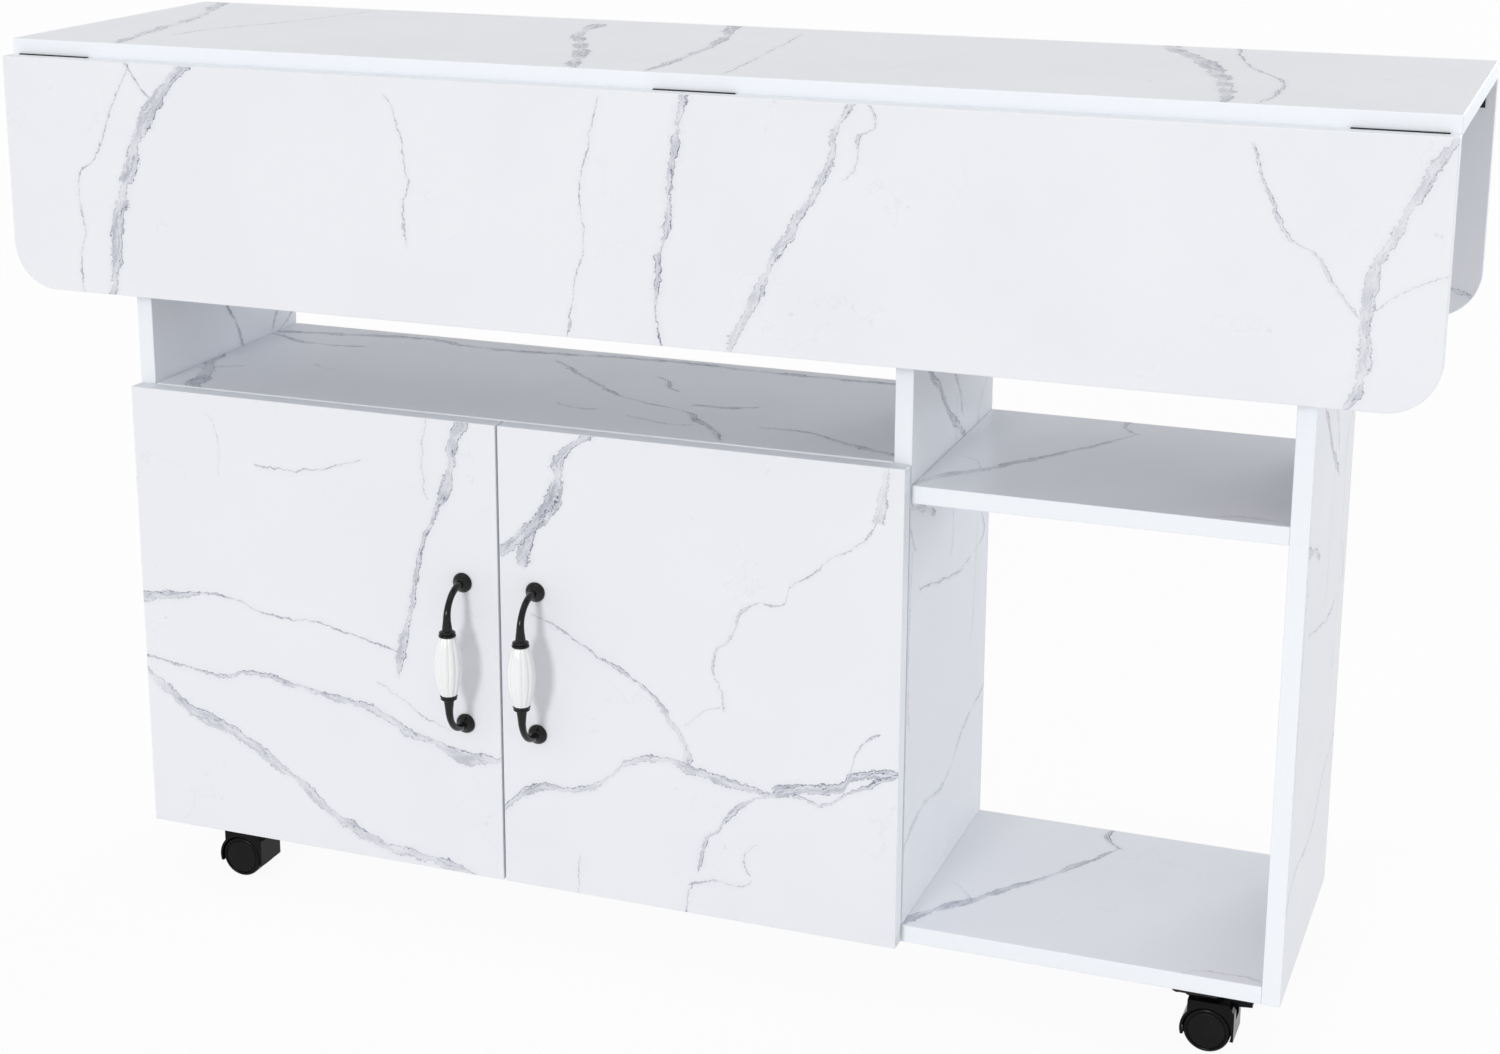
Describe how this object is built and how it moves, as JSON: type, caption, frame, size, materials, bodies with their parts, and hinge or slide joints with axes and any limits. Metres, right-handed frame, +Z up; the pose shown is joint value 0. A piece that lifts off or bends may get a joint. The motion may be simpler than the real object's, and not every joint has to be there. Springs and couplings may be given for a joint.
{
  "type": "drop-leaf kitchen cart",
  "caption": "Rolling kitchen cart with long hinged drop leaves, a low cabinet with paired doors and pulls, open bays and hooded swivel casters.",
  "frame": {"origin": "on the floor under the middle of the table top", "axes": "+Z up, +X along the length towards the open right-hand bay, -Y towards the doors"},
  "size_m": [1.2, 0.3536, 0.768],
  "materials": {
    "marble_board": "white marble-look laminate on particle board",
    "raw_wood": "unfinished beech",
    "black_steel": "gloss black",
    "bright_steel": "satin nickel plate",
    "pull_metal": "gloss black nickel",
    "grip_ceramic": "glossy white glaze",
    "hood_plastic": "satin black",
    "wheel_plastic": "satin black"
  },
  "bodies": {
    "carcass": {"top_panel": "marble_board", "left_side_panel": "marble_board", "right_side_panel": "marble_board", "divider_panel": "marble_board", "bottom_panel": "marble_board", "cabinet_top_shelf": "marble_board", "right_bay_shelf": "marble_board", "cabinet_inner_shelf": "marble_board", "cabinet_back_panel": "marble_board", "wood_dowels": "raw_wood", "cam_locks": "bright_steel", "shelf_pins": "bright_steel", "front_hinge_top_plates": "black_steel", "rear_hinge_top_plates": "black_steel", "leaf_hinge_pins": "black_steel", "left_door_hinge_arms": "bright_steel", "right_door_hinge_arms": "bright_steel", "front_left_support_bracket": "bright_steel", "front_right_support_bracket": "bright_steel", "rear_left_support_bracket": "bright_steel", "rear_right_support_bracket": "bright_steel", "caster_front_left_plate": "black_steel", "caster_front_right_plate": "black_steel", "caster_rear_left_plate": "black_steel", "caster_rear_right_plate": "black_steel"},
    "front_leaf": {"front_leaf_panel": "marble_board", "front_hinge_leaf_plates": "black_steel", "front_leaf_tracks": "bright_steel"},
    "front_left_support_strut": {"front_left_support_strut": "bright_steel"},
    "front_right_support_strut": {"front_right_support_strut": "bright_steel"},
    "rear_leaf": {"rear_leaf_panel": "marble_board", "rear_hinge_leaf_plates": "black_steel", "rear_leaf_tracks": "bright_steel"},
    "rear_left_support_strut": {"rear_left_support_strut": "bright_steel"},
    "rear_right_support_strut": {"rear_right_support_strut": "bright_steel"},
    "left_door": {"left_door_panel": "marble_board", "left_door_hinge_cups": "bright_steel", "left_door_pull_upper_arm": "pull_metal", "left_door_pull_lower_arm": "pull_metal", "left_door_pull_grip": "grip_ceramic"},
    "right_door": {"right_door_panel": "marble_board", "right_door_hinge_cups": "bright_steel", "right_door_pull_upper_arm": "pull_metal", "right_door_pull_lower_arm": "pull_metal", "right_door_pull_grip": "grip_ceramic"},
    "caster_front_left_swivel": {"caster_front_left_hood": "hood_plastic"},
    "caster_front_left_wheelset": {"caster_front_left_wheels": "wheel_plastic", "caster_front_left_axle": "bright_steel"},
    "caster_front_right_swivel": {"caster_front_right_hood": "hood_plastic"},
    "caster_front_right_wheelset": {"caster_front_right_wheels": "wheel_plastic", "caster_front_right_axle": "bright_steel"},
    "caster_front_right_lever": {"caster_front_right_brake_lever": "hood_plastic"},
    "caster_rear_left_swivel": {"caster_rear_left_hood": "hood_plastic"},
    "caster_rear_left_wheelset": {"caster_rear_left_wheels": "wheel_plastic", "caster_rear_left_axle": "bright_steel"},
    "caster_rear_right_swivel": {"caster_rear_right_hood": "hood_plastic"},
    "caster_rear_right_wheelset": {"caster_rear_right_wheels": "wheel_plastic", "caster_rear_right_axle": "bright_steel"},
    "caster_rear_right_lever": {"caster_rear_right_brake_lever": "hood_plastic"}
  },
  "joints": [
    {"name": "front_leaf_hinge", "type": "hinge", "parent": "carcass", "child": "front_leaf", "pos_m": [0, -0.1555, 0.7535], "axis": [-1, 0, 0], "range_deg": [0, 90]},
    {"name": "front_left_strut_pivot", "type": "hinge", "parent": "carcass", "child": "front_left_support_strut", "pos_m": [-0.49, -0.147, 0.6935], "axis": [-1, 0, 0], "range_deg": [0, 119]},
    {"name": "front_right_strut_pivot", "type": "hinge", "parent": "carcass", "child": "front_right_support_strut", "pos_m": [0.49, -0.147, 0.6935], "axis": [-1, 0, 0], "range_deg": [0, 119]},
    {"name": "rear_leaf_hinge", "type": "hinge", "parent": "carcass", "child": "rear_leaf", "pos_m": [0, 0.1555, 0.7535], "axis": [1, 0, 0], "range_deg": [0, 90]},
    {"name": "rear_left_strut_pivot", "type": "hinge", "parent": "carcass", "child": "rear_left_support_strut", "pos_m": [-0.49, 0.147, 0.6935], "axis": [1, 0, 0], "range_deg": [0, 119]},
    {"name": "rear_right_strut_pivot", "type": "hinge", "parent": "carcass", "child": "rear_right_support_strut", "pos_m": [0.49, 0.147, 0.6935], "axis": [1, 0, 0], "range_deg": [0, 119]},
    {"name": "left_door_hinge", "type": "hinge", "parent": "carcass", "child": "left_door", "pos_m": [-0.51, -0.1255, 0.25875], "axis": [0, 0, -1], "range_deg": [0, 95]},
    {"name": "right_door_hinge", "type": "hinge", "parent": "carcass", "child": "right_door", "pos_m": [0.2, -0.1255, 0.25875], "axis": [0, 0, 1], "range_deg": [0, 95]},
    {"name": "caster_front_left_swivel_turn", "type": "hinge", "parent": "carcass", "child": "caster_front_left_swivel", "pos_m": [-0.443, -0.104, 0.04], "axis": [0, 0, 1], "continuous": true},
    {"name": "caster_front_left_wheel_spin", "type": "hinge", "parent": "caster_front_left_swivel", "child": "caster_front_left_wheelset", "pos_m": [-0.433, -0.104, 0.019], "axis": [0, 1, 0], "continuous": true},
    {"name": "caster_front_right_swivel_turn", "type": "hinge", "parent": "carcass", "child": "caster_front_right_swivel", "pos_m": [0.443, -0.104, 0.04], "axis": [0, 0, 1], "continuous": true},
    {"name": "caster_front_right_wheel_spin", "type": "hinge", "parent": "caster_front_right_swivel", "child": "caster_front_right_wheelset", "pos_m": [0.453, -0.104, 0.019], "axis": [0, 1, 0], "continuous": true},
    {"name": "caster_front_right_brake_press", "type": "hinge", "parent": "caster_front_right_swivel", "child": "caster_front_right_lever", "pos_m": [0.456, -0.104, 0.0415], "axis": [0, -1, 0], "range_deg": [0, 12]},
    {"name": "caster_rear_left_swivel_turn", "type": "hinge", "parent": "carcass", "child": "caster_rear_left_swivel", "pos_m": [-0.443, 0.104, 0.04], "axis": [0, 0, 1], "continuous": true},
    {"name": "caster_rear_left_wheel_spin", "type": "hinge", "parent": "caster_rear_left_swivel", "child": "caster_rear_left_wheelset", "pos_m": [-0.433, 0.104, 0.019], "axis": [0, 1, 0], "continuous": true},
    {"name": "caster_rear_right_swivel_turn", "type": "hinge", "parent": "carcass", "child": "caster_rear_right_swivel", "pos_m": [0.443, 0.104, 0.04], "axis": [0, 0, 1], "continuous": true},
    {"name": "caster_rear_right_wheel_spin", "type": "hinge", "parent": "caster_rear_right_swivel", "child": "caster_rear_right_wheelset", "pos_m": [0.453, 0.104, 0.019], "axis": [0, 1, 0], "continuous": true},
    {"name": "caster_rear_right_brake_press", "type": "hinge", "parent": "caster_rear_right_swivel", "child": "caster_rear_right_lever", "pos_m": [0.456, 0.104, 0.0415], "axis": [0, -1, 0], "range_deg": [0, 12]}
  ],
  "couplings": [
    {"joint": "front_left_strut_pivot", "follows": "front_leaf_hinge", "ratio": 1.3102},
    {"joint": "front_right_strut_pivot", "follows": "front_leaf_hinge", "ratio": 1.3102},
    {"joint": "rear_left_strut_pivot", "follows": "rear_leaf_hinge", "ratio": 1.3102},
    {"joint": "rear_right_strut_pivot", "follows": "rear_leaf_hinge", "ratio": 1.3102}
  ]
}
